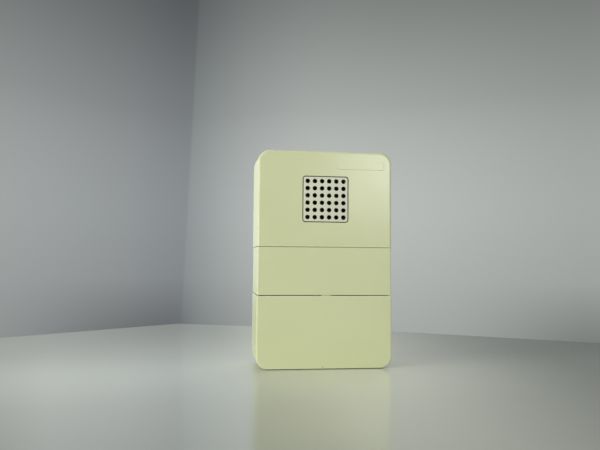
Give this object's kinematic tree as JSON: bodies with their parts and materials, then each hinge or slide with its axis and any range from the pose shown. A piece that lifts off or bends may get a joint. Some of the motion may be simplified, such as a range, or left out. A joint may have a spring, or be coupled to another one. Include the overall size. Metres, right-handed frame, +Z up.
{
  "type": "door chime",
  "caption": "Wall-mounted battery door chime: upright ivory casing in three mouldings with a square drilled speaker grille and a pull-off battery cover.",
  "frame": {"origin": "centre of the flat back face that lies against the wall", "axes": "+X to the right as seen from the room, +Y into the wall (the grille faces -Y), +Z up"},
  "size_m": [0.1236, 0.0474, 0.1938],
  "materials": {
    "casing": "satin moulded ivory plastic",
    "grille": "satin moulded off-white plastic",
    "plate": "matt moulded plastic",
    "cloth": "black dust cloth",
    "foam": "foam",
    "zinc": "zinc-plated steel",
    "ferrite": "sintered ferrite",
    "paper": "pressed paper",
    "coil": "enamelled copper wire",
    "phenolic": "brown phenolic board",
    "board": "printed circuit board",
    "black": "black moulded plastic",
    "can": "sleeved aluminium can",
    "resistor": "lacquered resistor",
    "terminal": "green moulded plastic",
    "brass": "brass",
    "nickel": "nickel-plated strip",
    "cell": "printed cell sleeve",
    "lead": "insulated wire"
  },
  "bodies": {
    "casing": {"back_plate": "plate", "upper_cover": "casing", "centre_band": "casing", "casing_screws": "zinc", "grille_plate": "grille", "grille_cloth": "cloth", "speaker_gasket": "foam", "speaker_basket": "zinc", "speaker_washer": "zinc", "speaker_magnet": "ferrite", "speaker_pole": "zinc", "speaker_surround": "foam", "speaker_spider": "paper", "speaker_solder_strip": "phenolic", "speaker_clips": "zinc", "speaker_clip_screws": "zinc", "circuit_board": "board", "board_screws": "zinc", "melody_chip": "black", "capacitors": "can", "resistors": "resistor", "transistors": "black", "volume_control": "phenolic", "tune_switch_body": "zinc", "terminal_block": "terminal", "terminal_clamps": "brass", "terminal_screws": "zinc", "battery_holder": "black", "holder_screws": "zinc", "battery_contacts": "nickel", "battery_springs": "nickel", "speaker_leads": "lead", "battery_leads": "lead", "cell_1": "cell", "cell_2": "cell", "cell_3": "cell", "cell_4": "cell"},
    "lower_cover": {"lower_cover": "casing"},
    "volume_wheel": {"volume_wheel": "black"},
    "tune_lever": {"tune_switch_lever": "black"},
    "speaker_cone": {"speaker_cone": "paper", "voice_coil": "coil", "speaker_dust_cap": "paper"}
  },
  "joints": [
    {"name": "lower_cover_pull", "type": "slide", "parent": "casing", "child": "lower_cover", "axis": [0, -1, 0], "range_m": [0, 0.07]},
    {"name": "volume_wheel_turn", "type": "hinge", "parent": "casing", "child": "volume_wheel", "pos_m": [-0.04375, -0.0096, -0.0309], "axis": [0, 1, 0], "range_deg": [-135, 135]},
    {"name": "tune_lever_slide", "type": "slide", "parent": "casing", "child": "tune_lever", "axis": [1, 0, 0], "range_m": [0, 0.004]},
    {"name": "cone_travel", "type": "slide", "parent": "casing", "child": "speaker_cone", "axis": [0, -1, 0], "range_m": [-0.0007, 0.0007], "stiffness_N_per_m": 200}
  ]
}
